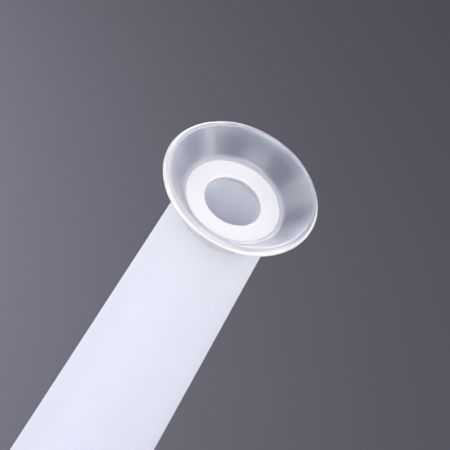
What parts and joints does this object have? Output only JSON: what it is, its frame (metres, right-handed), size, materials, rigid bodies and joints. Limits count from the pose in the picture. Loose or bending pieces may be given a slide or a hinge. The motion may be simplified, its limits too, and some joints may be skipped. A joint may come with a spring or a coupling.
{
  "type": "saliva ejector tip",
  "caption": "Slim tapered suction tube with a soft flared cup round a white ring at its end, a fluted nut at the tail and a swivelling plug.",
  "frame": {"origin": "centre of the tail plug at the rear face of the stop collar, which seats against the mouth of the ejector valve", "axes": "+Z along the tube's axis, from the tail towards the suction cup; X and Y across it"},
  "size_m": [0.013, 0.013, 0.0892],
  "materials": {
    "silicone": "milky translucent silicone, smooth with a soft gloss",
    "white_ring": "bright white satin plastic",
    "frosted_sleeve": "frosted translucent plastic, bluish",
    "frosted_tube": "frosted translucent polypropylene with a bluish white cast",
    "stainless": "etched stainless sheet",
    "tail_plastic": "smooth natural white acetal",
    "journal_plastic": "slick moulded acetal",
    "seal_rubber": "black seal rubber",
    "slip_washer": "waxy fluoropolymer sheet",
    "nut_plastic": "fine-grained moulded plastic, pale grey"
  },
  "bodies": {
    "tail": {"tail_tube": "tail_plastic", "swivel_journal": "journal_plastic", "journal_o_ring": "seal_rubber", "stop_collar": "nut_plastic"},
    "barrel": {"barrel": "frosted_tube", "retaining_nut": "nut_plastic", "thrust_washer": "slip_washer", "strainer_disc": "stainless"},
    "cup": {"suction_cup": "silicone", "nozzle_ring": "white_ring", "inlet_sleeve": "frosted_sleeve"}
  },
  "joints": [
    {"name": "barrel_swivel", "type": "hinge", "parent": "tail", "child": "barrel", "pos_m": [0, 0, 0.0086], "axis": [0, 0, 1], "continuous": true},
    {"name": "cup_pull", "type": "slide", "parent": "barrel", "child": "cup", "axis": [0, 0, 1], "range_m": [0, 0.012]}
  ]
}
